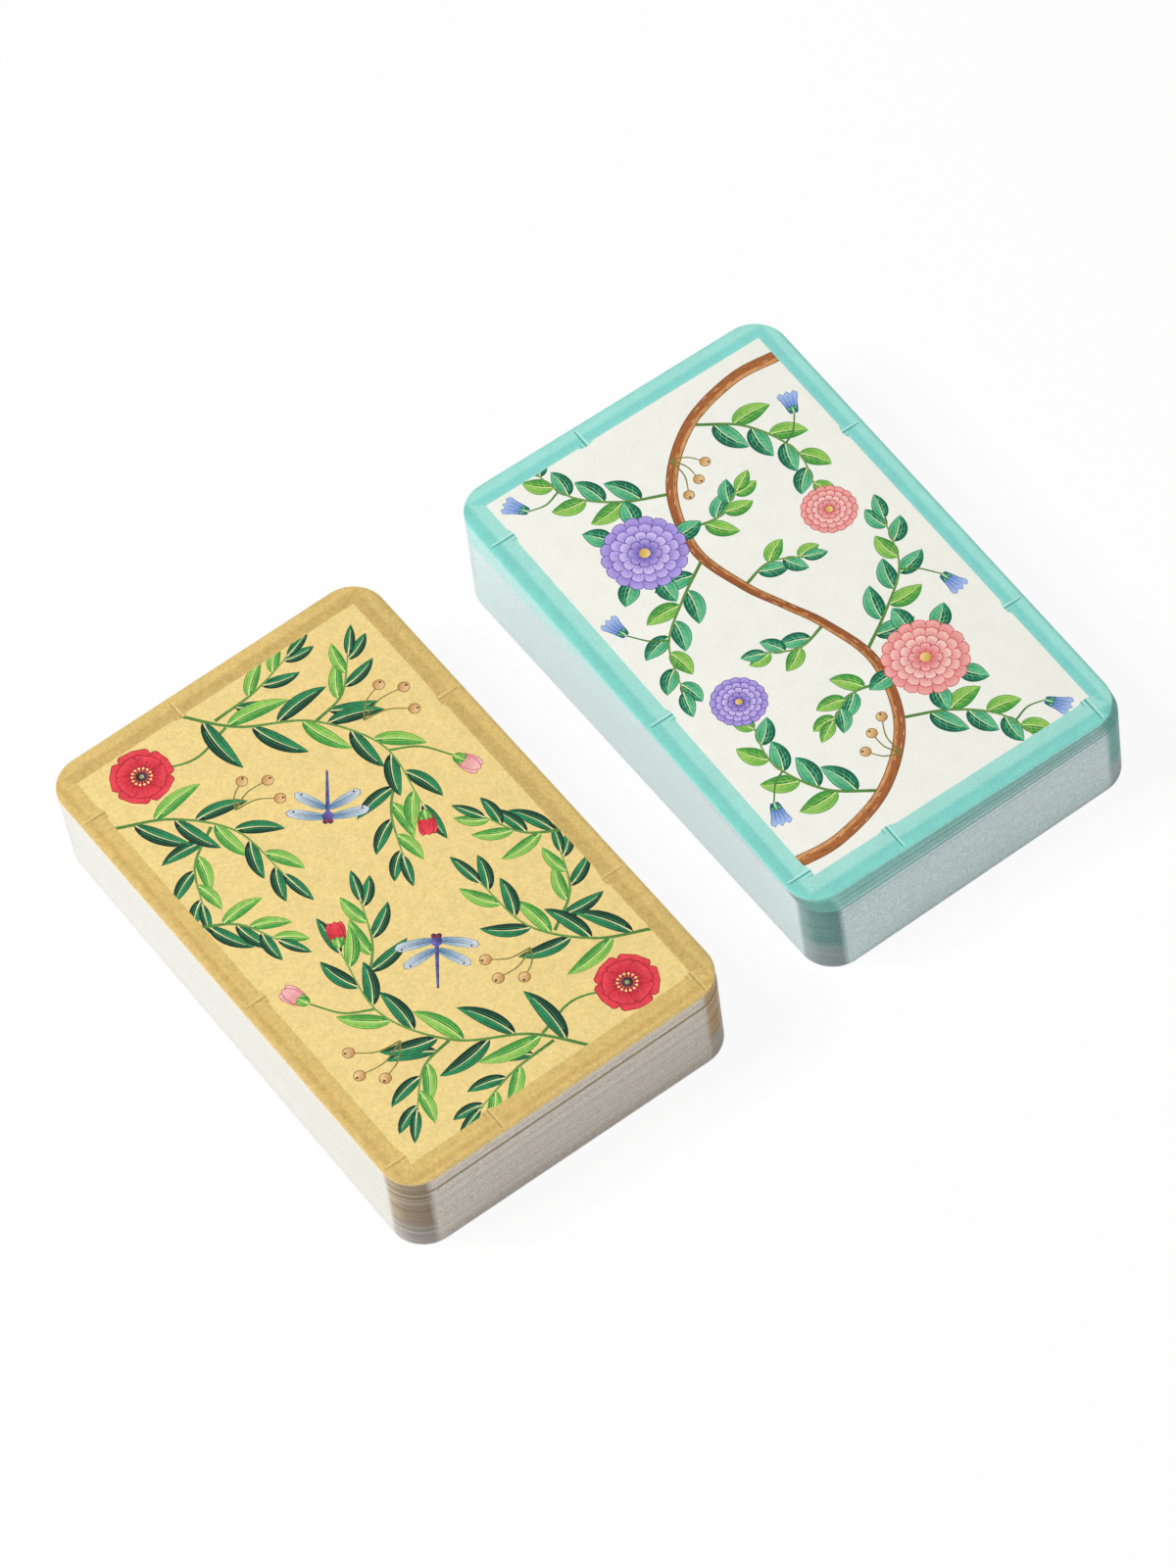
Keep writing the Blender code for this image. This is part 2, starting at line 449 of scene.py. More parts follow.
def anemone(radius, tone):
    """An open flower: two rings of five broad petals, a ring of pale stamens and a dark boss."""
    inks = PETAL_INKS[tone]
    parts = []
    for inner, outer, width, phase in ((0.14, 1.0, 1.02, 18), (0.10, 0.78, 0.86, 54)):
        parts += petal_ring(5, inner * radius, outer * radius, width * radius, inks, phase, 0.62, 0.26, 3)
    ring = np.exp(2j * np.pi * np.arange(STAMENS) / STAMENS)
    stamen = np.linspace(0.1, 0.29, 3) * radius
    thread, dust = STAMEN_INKS
    parts += [stroke(stamen * spot, *STAMEN, thread, fine=True) for spot in ring]
    parts += [disc(radius * 0.045, dust, None, radius * 0.31 * spot, 6, True) for spot in ring]
    parts.append(disc(radius * 0.19, *BOSS_INKS))
    return parts + [disc(radius * 0.08, *BOSS_TOP_INKS, 0, 8, True)]


def bud(length, width, tone):
    """A closed bud along +x: two back petals, one over them, and three small green leaves at its foot."""
    parts = []
    for bend in (0.22, -0.22, 0.0):
        parts += petal(length, width * 0.62, PETAL_INKS[tone], bend, 0.6, 0.6, 10)
    for bend in (0.5, -0.5, 0.0):
        parts += leaf(length * 0.42, width * 0.34, "fresh", bend)
    return parts


def bellflower(length):
    """A hanging bell along +x: a cup that flares as t^0.6 and t^4 to three lobes, and a green cap."""
    rim, foot, head = BELL_INKS
    t = np.linspace(0, 1, 10)
    half = length * (0.14 + 0.20 * t ** 0.6 + 0.14 * t ** 4)
    lobes = length * np.array([1.0, 1.16, 1.02, 1.2, 1.02, 1.16, 1.0])
    mouth = lobes + 1j * half[-1] * np.linspace(1, -1, 7)
    side = length * t[:-1] + 1j * half[:-1]
    cup = np.concatenate([side, mouth, side[::-1].conj()])
    aside = 1j * PETAL_RIM
    rim_cup = np.concatenate([side + aside, mouth + PETAL_RIM, side[::-1].conj() - aside])
    parts = [area(rim_cup, rim, fine=True), area(cup, foot, head, 0, length * 1.1)]
    for lie in (-0.5, 0, 0.5):
        line = length * np.array([0.15, 0.55, 0.98]) + 1j * lie * half[[1, 5, 8]]
        parts.append(stroke(line, *BELL_LINE, rim, fine=True))
    for bend in (0.6, -0.6, 0.0):
        parts += leaf(length * 0.42, length * 0.2, "sea", bend)
    return parts


def dragonfly(span):
    """A dragonfly that heads along +x: two pairs of veined wings, a jointed tail, a back and two eyes."""
    rim, rib, vein, spot, dark, light = WING_INKS
    wings = []
    for foot, turn, size in ((0.02, 98, 1.0), (-0.10, 118, 0.9)):
        spine, left, right = blade(span / 2 * size, span * 0.13, 0.06, 0.45, 0.3, 12)
        outline = loop(left, right)
        wing = [
            area(outline, rim, fine=True),
            area(0.96 * outline + 0.02 * spine[-1], dark, light, spine[0], spine[-1]),
            stroke(spine[:-1] + 0.01j * span, *WING_RIB, rib, fine=True),
            stroke(spine[2:-2] - 0.016j * span, *WING_VEIN, vein, fine=True),
            disc(span * 0.014, spot, None, spine[-3] + 0.03j * span, 6, True),
        ]
        wings += turned(wing, turn, foot * span)
    parts = wings + mirrored(wings)
    joints = np.linspace(-0.62, -0.06, 9) * span
    for k, (low, high) in enumerate(zip(joints[:-1], joints[1:])):
        half = span * (0.014 + 0.012 * k / 7)
        side = np.array([low - 0.04, high]) - 1j * half
        parts.append(area(np.append(side, side[::-1].conj()), *TAIL_INKS[k % 2], -1j * half, 1j * half))
    parts.append(disc(span * 0.067, *BODY_INKS))
    for side in (1, -1):
        parts.append(disc(span * 0.035, *EYE_INKS, (0.075 + 0.03j * side) * span, 9))
    return parts


def vine(knots, broad, narrow):
    """A woody stem through the knots in three bands, a dark rim, the bark and a lit side, with marks."""
    path = sweep(knots, 12)
    half = np.linspace(broad, narrow, len(path)) / 2
    rim, foot, tip, lit_foot, lit_tip = BARK_INKS
    parts = [
        area(band(path, half + BARK_RIM), rim, fine=True),
        area(band(path, half), foot, tip, path[0], path[-1]),
        area(band(path, half, -half * 0.35), lit_foot, lit_tip, path[0], path[-1]),
    ]
    for k, share in enumerate(np.linspace(0.02, 0.98, VINE_MARKS)):
        point, heading = along(path, share)
        mark = np.array([-0.5, 0.0, 0.5]) + 0.4j * (broad + (narrow - broad) * share) * np.cos(2.4 * k)
        code = BARK_MARK_INKS[k % len(BARK_MARK_INKS)]
        parts += turned([stroke(mark, *BARK_MARK, code, fine=True)], heading, point)
    return parts


# Layouts of the backs, in millimetres from the card's middle

# Each is half of a back, and is turned half round for the other half. A shoot is its stem's knots, the
# number of its leaves, a leaf's length and width, the kinds of leaves in turn, and the share of the stem
# before the first one
GOLD_SHOOTS = (
    ((14 - 22.5j, 19.6 - 18.6j, 22.6 - 12.6j), 5, 7.6, 2.0, ("deep", "fresh"), 0.2),
    ((-13.3 - 14j, -7.8 - 8.4j, -4.6 - 1.2j), 5, 8.2, 2.1, ("deep", "fresh"), 0.24),
    ((3 - 36.9j, -4.5 - 37.4j, -11.8 - 39.4j), 5, 7.6, 2.0, ("deep", "fresh"), 0.24),
    ((25 - 31j, 17.5 - 27j, 11.5 - 19.5j, 10.5 - 9.5j), 9, 9.6, 2.3, ("deep", "fresh", "deep"), 0.1),
    ((25.5 - 10j, 20.4 - 6.5j, 17.6 - 1.0j), 6, 8.0, 2.0, ("deep", "fresh"), 0.14),
    ((-8.4 - 27.6j, -14 - 29j, -18.8 - 34j), 5, 8.0, 2.0, ("deep", "fresh"), 0.2),
)
GOLD_MAIN_SHOOT = (
    (7 - 41.5j, 1 - 34j, -8 - 28j, -13.5 - 18j, -12 - 6.5j), 11, 10.6, 2.5, ("deep", "fresh", "deep"), 0.1,
)
TEAL_SHOOTS = (
    ((1.6 - 26j, 8.4 - 29.4j, 13.6 - 34.6j, 15.4 - 41.5j), 7, 6.8, 3.0, ("sea", "fresh"), 0.2),
    ((4.4 - 14j, 11.4 - 9.6j, 17.4 - 4.6j, 20.6 + 3.4j), 8, 6.8, 3.0, ("sea", "sea", "fresh"), 0.14),
    ((-8.4 - 34j, -14.4 - 29j, -17.6 - 21j, -15.8 - 13.4j), 8, 7.0, 3.1, ("sea", "fresh"), 0.12),
    ((3.8 - 19.6j, -1.6 - 18.4j, -6.4 - 20.6j), 5, 6.0, 2.7, ("fresh", "sea"), 0.3),
    ((2.6 - 6.2j, -2.6 - 7.4j, -7.2 - 5.2j), 4, 5.6, 2.6, ("sea", "fresh"), 0.3),
)
# Stems without leaves
ROSE_BUD_STALK = (-13.6 - 17j, -17.6 - 14.6j, -20.4 - 10.4j)
ANEMONE_STALK = (2.4 - 35.0j, 9 - 33.4j, 15 - 35.6j)
TEAL_VINE = (-26 - 36.6j, -17.6 - 37.2j, -7.4 - 34.2j, 1 - 26.6j, 4.6 - 16j, 2.8 - 6.6j, 0)
# Where the stalks of berries meet, and the berries
GOLD_BERRIES = (
    (9.6 - 22.6j, (3.4 - 20.2j, 3.0 - 23.8j, 6.0 - 26.0j)),
    (-13.9 - 23.4j, (-20.8 - 20.4j, -21.8 - 24.4j, -19.2 - 27.0j)),
)
TEAL_BERRIES = (-1.8 - 31j, (-3.2 - 25.6j, -0.4 - 24.2j, -5.8 - 27.6j))
# Where a bell's stalk starts and ends, and the bell's heading in degrees
TEAL_BELLS = (
    (17.0 - 5.2j, 21.4 - 9.6j, -78),
    (14.6 - 36.4j, 20.0 - 36.2j, -56),
    (-17.2 - 23j, -21.4 - 26.6j, -108),
)
# The places of single motifs
ANEMONE = 16.8 - 35.8j
RED_BUD = -11.6 - 5.6j
DRAGONFLY = -0.2 - 13.4j
LARGE_DAHLIA = 10.8 - 19.8j
SMALL_DAHLIA = -15.2 - 9.6j


def gold_half():
    """Leafy stems that arch in from the border, with an open flower, buds, berries and a dragonfly."""
    parts = []
    for shoot in GOLD_SHOOTS:
        parts += sprig(*shoot)
    parts.append(stroke(sweep(ROSE_BUD_STALK, 8), *BUD_STALK, STALK_INK))
    parts += turned(bud(4.6, 3.3, "rose"), 112, ROSE_BUD_STALK[-1])
    parts.append(stroke(sweep(ANEMONE_STALK, 8), *FLOWER_STALK, STALK_INK))
    parts += sprig(*GOLD_MAIN_SHOOT)
    for foot, places in GOLD_BERRIES:
        parts += berries(foot, places)
    parts += turned(anemone(4.6, "red"), 20, ANEMONE)
    parts += turned(bud(4.4, 3.1, "red"), 64, RED_BUD)
    return parts + turned(dragonfly(12.5), 55, DRAGONFLY)


def teal_half(tone, other):
    """Half of a long S-shaped vine, with leafy shoots, a large and a small dahlia, bells and berries."""
    parts = []
    for shoot in TEAL_SHOOTS:
        parts += sprig(*shoot, spread=56, veins=3)
    parts += vine(TEAL_VINE, 1.9, 1.1)
    for foot, tip, turn in TEAL_BELLS:
        bow = sweep([foot, (foot + tip) / 2 + 0.7j, tip], 7)
        parts.append(stroke(bow, *BELL_STALK, STEM_INKS[0]))
        parts += turned(bellflower(3.4), turn, tip)
    parts += berries(*TEAL_BERRIES, 0.75)
    for turn in (35, 80, -60, -110, 175):
        foot = LARGE_DAHLIA + 5.2 * np.exp(1j * np.radians(turn))
        parts += turned(leaf(4.6, 3.0, "sea", 0.1, 3), turn, foot)
    parts += turned(dahlia(6.5, tone), 0, LARGE_DAHLIA)
    return parts + turned(dahlia(4.2, other), 20, SMALL_DAHLIA)


def back_motifs(deck):
    """All of a back's printed picture: one half, and the other turned half round."""
    if deck == "gold":
        return gold_half() + turned(gold_half(), 180)
    return teal_half("coral", "violet") + turned(teal_half("violet", "coral"), 180)


# The cane border of the backs

# How far the folds in the border's tone stay clear of the card's corner arcs
FOLD_CLEAR = 0.1


def half_size(side):
    """From the card's middle to that side: 0 right, 1 far, 2 left, 3 near."""
    return (CARD_WIDTH if side % 2 == 0 else CARD_LENGTH) / 2


def on_side(side, place, depth):
    """The point at a place along a side, that depth in from the card's edge."""
    out = 1j ** side
    return out * (half_size(side) - depth) + (1j * place if side % 2 == 0 else place)


def cane_tones(deck, side):
    """The tones across the cane on one side. Its light comes from the near left."""
    return (CANE_SHADED if side < 2 else CANE_LIT)[deck]


def cane_folds(deck):
    """Lines along which the cane's tone changes, as pairs of points: along the sides, and the mitres."""
    folds = []
    for side in range(4):
        width = BORDER[deck][side]
        beside = [BORDER[deck][(side + 1) % 4], BORDER[deck][(side - 1) % 4]]
        for share, _ in cane_tones(deck, side)[1:-1]:
            depth = share * width
            arc = CORNER_RADIUS - np.sqrt(CORNER_RADIUS ** 2 - (CORNER_RADIUS - depth) ** 2)
            reach = [half_size(side + 1) - max(share * other, arc + FOLD_CLEAR) for other in beside]
            if side in (1, 2):
                reach.reverse()
            folds.append((on_side(side, reach[0], depth), on_side(side, -reach[1], depth)))
        corner = on_side(side, 0, width) + 1j * 1j ** side * (half_size(side + 1) - beside[0])
        outer = on_side(side, 0, 0) + 1j * 1j ** side * half_size(side + 1)
        folds.append((corner, corner + 0.5 * (outer - corner)))
    return folds


def cane_inks(deck, corners):
    """The cane's ink at the corners of each triangle: its side is the nearest by share of that border."""
    depths = np.stack([half_size(s) - (corners * np.conj(1j ** s)).real for s in range(4)])
    shares = depths / np.array(BORDER[deck])[:, None, None]
    side = shares.mean(2).argmin(0)
    inks = np.empty(corners.shape + (3,))
    for s in range(4):
        stops, tones = zip(*cane_tones(deck, s))
        tones = np.array([ink(code) for code in tones])
        here = side == s
        inks[here] = np.stack([np.interp(shares[s][here], stops, tone) for tone in tones.T], -1)
    return inks


def cane_joints(deck):
    """At each joint the cane swells into the field as a cos^2 hump, crossed by light and dark lines."""
    parts = []
    for side, place in CANE_JOINTS:
        width = BORDER[deck][side]
        tone = cane_tones(deck, side)[-1][1]
        t = np.linspace(-1, 1, 15)
        hump = width - JOINT_TUCK + JOINT_SWELL * np.cos(0.5 * np.pi * t) ** 2
        swell = on_side(side, place + JOINT_REACH * t, hump)
        foot = on_side(side, place + JOINT_REACH * np.array([1, -1]), width - JOINT_FOOT)
        parts.append(area(np.concatenate([swell, foot]), tone))
        depth = np.linspace(JOINT_INSET, width + JOINT_OVERRUN, 5)
        for shift, broad, inks, first in JOINT_LINES:
            line = on_side(side, place + shift, depth[first:])
            parts.append(stroke(line, broad * 0.6, broad, inks[deck], fine=first > 0))
    return parts


# Cutting prints into sheets

# Points closer than this are one, and motifs run on under the border by this much, both in millimetres
CUT_TOLERANCE = 1e-5
MOTIF_OVERRUN = 0.4
# What a cut gives: the triangles inside the outlines
INSIDE_TRIANGLES = 1


def card_outline(inset=0.0):
    """The card's rounded rectangle, anticlockwise from the far right: four arcs round corner centres."""
    arc = (CORNER_RADIUS - inset) * np.exp(0.5j * np.pi * np.linspace(0, 1, CORNER_POINTS))
    reach = CARD_WIDTH / 2 - CORNER_RADIUS + 1j * (CARD_LENGTH / 2 - CORNER_RADIUS)
    centres = np.array([reach, -reach.conjugate(), -reach, reach.conjugate()])
    return (centres[:, None] + arc * 1j ** np.arange(4)[:, None]).ravel()


def anticlockwise(outline):
    """The outline with its inside to the left: its area, half the sum of Im(z* z_next), is positive."""
    return outline if (outline.conj() * np.roll(outline, -1)).imag.sum() > 0 else outline[::-1]


def clipped(a, low, high):
    """The area cut off at a rectangle, one side after another: points inside it stay, and each edge that
    crosses the side gets a point where it does. Nothing is left of an area that lies outside."""
    outline = a.outline
    for out, limit in ((1, high.real), (1j, high.imag), (-1, -low.real), (-1j, -low.imag)):
        inside = limit - (outline * np.conj(out)).real
        ahead = np.roll(inside, -1)
        crosses = (inside >= 0) != (ahead >= 0)
        share = inside / np.where(crosses, inside - ahead, 1)
        meet = outline + share * (np.roll(outline, -1) - outline)
        outline = np.stack([outline, meet], 1)[np.stack([inside >= 0, crosses], 1)]
    return [a._replace(outline=outline)] if len(outline) > 2 else []


def cut_sheet(outlines, folds=()):
    """The first outline's inside, cut into triangles along all outlines and folds. Gives the points, the
    triangles, and the numbers of the outlines that cover each triangle."""
    outlines = [anticlockwise(outline) for outline in outlines]
    points = np.concatenate(outlines + [np.array(folds, complex).ravel()])
    ends = np.cumsum([0] + [len(outline) for outline in outlines])
    faces = [list(range(low, high)) for low, high in zip(ends[:-1], ends[1:])]
    edges = [(ends[-1] + 2 * k, ends[-1] + 2 * k + 1) for k in range(len(folds))]
    flat = np.stack([points.real, points.imag], -1).tolist()
    cut, _, triangles, _, _, covers = delaunay_2d_cdt(flat, edges, faces, INSIDE_TRIANGLES, CUT_TOLERANCE)
    cut = np.array(cut)
    return cut[:, 0] + 1j * cut[:, 1], np.array(triangles), covers


def blended(areas, uppermost, corners, inks):
    """Sets the inks of the triangles that each area covers: two inks blended from its start to its end."""
    order = np.argsort(uppermost, kind="stable")
    stops = np.searchsorted(uppermost[order], np.arange(len(areas) + 1))
    for k, a in enumerate(areas):
        here = order[stops[k]:stops[k + 1]]
        way = a.end - a.start
        share = ((corners[here] - a.start) * np.conj(way)).real / abs(way) ** 2
        inks[here] = a.inks[0] + np.clip(share, 0, 1)[..., None] * (a.inks[1] - a.inks[0])


def back_sheet(deck, detail):
    """A deck's printed back. Motifs show only inside the field, and the border's joints also outside it.
    The detail is full, plain (no fine areas, and half the points) or bare (no motifs at all)."""
    right, far, left, near = BORDER[deck]
    low = -CARD_WIDTH / 2 + left - 1j * (CARD_LENGTH / 2 - near)
    high = CARD_WIDTH / 2 - right + 1j * (CARD_LENGTH / 2 - far)
    field = area([low, high.real + 1j * low.imag, high, low.real + 1j * high.imag], GROUND[deck])
    over = MOTIF_OVERRUN * (1 + 1j)
    motifs = [part for a in back_motifs(deck) for part in clipped(a, low - over, high + over)]
    joints = cane_joints(deck)
    if detail != "full":
        motifs = [a._replace(outline=a.outline[::2]) for a in motifs if not a.fine and len(a.outline) > 5]
        joints = [a for a in joints if not a.fine]
    if detail == "bare":
        motifs = []
    areas = [field] + motifs + joints
    outlines = [card_outline(EDGE_ROUND)] + [a.outline for a in areas]
    points, triangles, covers = cut_sheet(outlines, cane_folds(deck))
    first_joint = 2 + len(motifs)
    uppermost = np.array([
        max(cover) if 1 in cover or max(cover) >= first_joint else 0 for cover in covers
    ])
    corners = points[triangles]
    inks = cane_inks(deck, corners)
    blended(areas, uppermost - 1, corners, inks)
    return Sheet(points, triangles, inks)


# Card faces

FACE_PAPER = "#f7f5ee"
FRAME_INK = "#d8b45a"
SUIT_INKS = {"heart": "#c4202c", "diamond": "#c4202c", "club": "#1d1c20", "spade": "#1d1c20"}
STAR_INKS = ("#2f7f78", "#c98a2b")
STAR_TIP_INK = "#8fd0c2"
SUIT_CARDS = 13
# In millimetres: the heights of pips, how far columns and rows reach from the middle, the place of the
# corner pips, the corner of a picture card's frame, and the reach of a joker's star, which has STAR_RAYS
LARGE_PIP = 18
SMALL_PIP = 10
CORNER_PIP = 4.4
PIP_COLUMN = 12.5
PIP_ROW = 27
CORNER_PLACE = -23.6 + 37.5j
FRAME_CORNER = 17 + 27j
STAR_REACH = 9
STAR_RAYS = 8


def pip(suit):
    """A suit's sign, 1 high, about 0: hearts and spades from sums of sines and cosines, diamonds from
    powers of them, and clubs from discs."""
    code = SUIT_INKS[suit]
    t = np.linspace(0, 2 * np.pi, 26, endpoint=False)
    up = 13 * np.cos(t) - 5 * np.cos(2 * t) - 2 * np.cos(3 * t) - np.cos(4 * t)
    lobes = (16 * np.sin(t) ** 3 + 1j * up) / 30 + 0.08j
    foot = area([-0.22 - 0.5j, 0.22 - 0.5j, 0.06 - 0.2j, 0.04 + 0.1j, -0.04 + 0.1j, -0.06 - 0.2j], code)
    if suit == "heart":
        return [area(lobes, code)]
    if suit == "spade":
        return [area(-0.88 * lobes + 0.1j, code), foot]
    if suit == "diamond":
        across, up = (wave * np.abs(wave) ** 0.35 for wave in (np.cos(t), np.sin(t)))
        return [area(0.40 * across + 0.5j * up, code)]
    rounds = [disc(0.235, code, None, place) for place in (0.27j, -0.25 - 0.08j, 0.25 - 0.08j)]
    return rounds + [disc(0.14, code), foot]


# The rows of each rank's pips, as shares of PIP_ROW: in both outer columns, and in the middle one
PIP_ROWS = {
    1: ((), (0,)),
    2: ((), (1, -1)),
    3: ((), (1, 0, -1)),
    4: ((1, -1), ()),
    5: ((1, -1), (0,)),
    6: ((1, 0, -1), ()),
    7: ((1, 0, -1), (1 / 2,)),
    8: ((1, 0, -1), (1 / 2, -1 / 2)),
    9: ((1, 1 / 3, -1 / 3, -1), (0,)),
    10: ((1, 1 / 3, -1 / 3, -1), (2 / 3, -2 / 3)),
}


def face_areas(number):
    """A card's face by its number in a new deck: pips in columns, and one large pip on aces and, in a
    frame, on picture cards. The jokers after them have a star."""
    joker = number - SUIT_CARDS * len(SUIT_INKS)
    if joker >= 0:
        tips = np.arange(2 * STAR_RAYS)
        star = STAR_REACH * np.exp(1j * np.pi * tips / STAR_RAYS) * np.where(tips % 2, 0.45, 1.0)
        return [area(1j * star, STAR_INKS[joker], STAR_TIP_INK, -1j * STAR_REACH, 1j * STAR_REACH)]
    suit = tuple(SUIT_INKS)[number // SUIT_CARDS]
    rank = number % SUIT_CARDS + 1
    picture = rank not in PIP_ROWS
    outer, middle = PIP_ROWS[1 if picture else rank]
    size = LARGE_PIP if picture or rank == 1 else SMALL_PIP
    parts = []
    if picture:
        for share, code in ((1.0, FRAME_INK), (0.9, FACE_PAPER)):
            corner = share * FRAME_CORNER
            outline = np.array([corner, -corner.conjugate(), -corner, corner.conjugate()])
            parts.append(area(outline, code))
    for across, rows in ((1, outer), (-1, outer), (0, middle)):
        for up in rows:
            place = PIP_COLUMN * across + 1j * PIP_ROW * up
            parts += turned(pip(suit), 0 if up >= 0 else 180, place, size)
    for turn in (0, 180):
        parts += turned(turned(pip(suit), 0, CORNER_PLACE, CORNER_PIP), turn)
    return parts


def face_sheet(number):
    """A card's printed face on its white coating."""
    areas = face_areas(number)
    points, triangles, covers = cut_sheet([card_outline(EDGE_ROUND)] + [a.outline for a in areas])
    inks = np.empty(triangles.shape + (3,))
    inks[:] = ink(FACE_PAPER)
    blended(areas, np.array([max(cover) for cover in covers]) - 1, points[triangles], inks)
    return Sheet(points, triangles, inks)


# Cards as closed shells


def node_lay(node):
    """How a CAD card or packet lies: the centre of its lowest face, its turn, and its lowest and highest
    level. Its corner points' offsets from their middle are squared and summed: minus that sum has twice the
    turn's angle, because a card is longer along y."""
    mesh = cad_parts[node].data
    co = np.empty(len(mesh.vertices) * 3)
    mesh.vertices.foreach_get("co", co)
    co = np.unique(co.reshape(-1, 3).round(6), axis=0) / MM
    flat = co[:, 0] + 1j * co[:, 1]
    foot, head = co[:, 2].min(), co[:, 2].max()
    low = flat[co[:, 2] < (foot + head) / 2]
    turn = np.exp(0.5j * np.angle(-((low - low.mean()) ** 2).sum()))
    return Lay(low.mean(), turn, foot, head)


def round_corners(at_sides):
    """Values of the four sides by corner and point of its arc: each goes over evenly into the next one."""
    at_sides = np.asarray(at_sides, float).reshape(4, 1, -1)
    steps = np.linspace(0, 1, CORNER_POINTS)[:, None]
    return at_sides + steps * (np.roll(at_sides, -1, 0) - at_sides)


def edge_inks(deck, number, tone, rubbed_ink_and_gap_shade, punch):
    """The cut edge's inks by band and point of the outline: paper with ink that handling rubs onto it all
    round, and punch-dragged ink on the corner arcs, which goes over to grey on the lowest cards as painted
    contact shade. The edges darken towards the floor as painted shade, and the darkest lines are painted
    shade of the gaps between cards. The uppermost band, the rim, keeps some of the border's ink, and the
    top cards' edges are lightened with border ink as a painted highlight. A fourth value is how coarse the
    cut is."""
    steps = np.linspace(0, 1, CORNER_POINTS)
    stand, table = round_corners(SIDE_LINES[deck]), round_corners(LOW_CARD_SHADE[deck])
    arcs = np.stack([np.interp(steps, places, PUNCH_STOPS) for places in PUNCH_ARC])
    rise = np.interp(number, PUNCH_RISE, (0, 1))
    strength = punch * PUNCH_SHARE * (PUNCH_LOWEST + (1 - PUNCH_LOWEST) * rise)
    dragged = np.clip(arcs * strength[:, None], 0, 1)[..., None]
    # Paper by side, with the gold's painted tint of light on the left and of shade on the near side
    paper = round_corners([ink(code) for code in PAPER[deck]])
    # Ink that handling rubs on, which on some cards is painted shade of the gaps between cards
    paper += rubbed_ink_and_gap_shade * stand * (ink(RUBBED_INK_AND_GAP_SHADE[deck]) - paper)
    first, then = (
        np.stack([ink(code) for code in codes[deck]])[:, None] for codes in (PUNCHED, PUNCHED_ON)
    )
    punched = first + np.clip(steps / PUNCH_FADE, 0, 1)[:, None] * (then - first)
    # Towards the lowest cards the corners go grey: painted contact shade near the floor
    punched = ink(CONTACT_SHADE_GREY[deck]) + rise * (punched - ink(CONTACT_SHADE_GREY[deck]))
    # Painted shade: the edges darken towards the floor, on each side by its own share
    shade_towards_floor = table + (1 - table) * (number / DECK_CARDS) ** LOW_CARD_SHADE_FADE
    # Each card's tone, whose darkest lines are painted shade of the gaps between cards, strongest on the
    # near side
    around = (paper + dragged * (punched - paper)) * shade_towards_floor * (1 + (tone - 1) * stand)
    bands = np.array([band_tone for _, _, band_tone in EDGE_RINGS[:-1]])
    inks = bands[:, None, None, None] * around
    inks[0] += RIM_INK * (1 - dragged) * (ink(CANE_LIT[deck][0][1]) - inks[0])
    # The top cards' edges get lighter border ink, a painted highlight of their rounded edges
    inks += TOP_EDGE_WIPE_AND_HIGHLIGHT_SHARE.get(number, 0) * (ink(TOP_EDGE_WIPE_AND_HIGHLIGHT[deck]) - inks)
    grit = np.broadcast_to(round_corners(SIDE_GRIT), inks.shape[:-1] + (1,))
    inks = np.concatenate([np.clip(inks, 0, EDGE_LIGHTEST), grit], -1)
    return inks.reshape(len(bands), -1, 4)


def print_places(sheet, patch):
    """Where a sheet's triangles lie in a patch (left, low, wide, high) of the card's texture."""
    left, low, wide, high = patch
    corners = sheet.points[sheet.triangles]
    across = left + wide * (corners.real / CARD_WIDTH + 0.5)
    return np.stack([across, low + high * (corners.imag / CARD_LENGTH + 0.5)], -1)


def edge_places(row, rows):
    """Where the cut edge's quads lie in the texture. Each quarter of the outline, from the start of one
    corner to the next, is one strip: its length runs across the patch, and its depth up the strip."""
    outline = card_outline()
    length = np.abs(np.roll(outline, -1) - outline).reshape(4, -1)
    length /= length.sum(1)[:, None]
    ends = np.cumsum(length, 1)
    starts = ends - length
    left, low, wide, high = EDGE_PATCH
    strip = high / rows / 4
    across = left + wide * np.stack([starts, starts, ends, ends], -1).reshape(1, -1, 4)
    shares = np.array([share for share, _, _ in EDGE_RINGS])
    depth = np.stack([shares[:-1], shares[1:], shares[1:], shares[:-1]], -1)[:, None]
    foot = low + strip * (4 * row + np.repeat(np.arange(4), CORNER_POINTS))[None, :, None]
    up = foot + strip * (STRIP_MARGIN + (1 - 2 * STRIP_MARGIN) * depth)
    return np.stack(np.broadcast_arrays(across, up), -1)


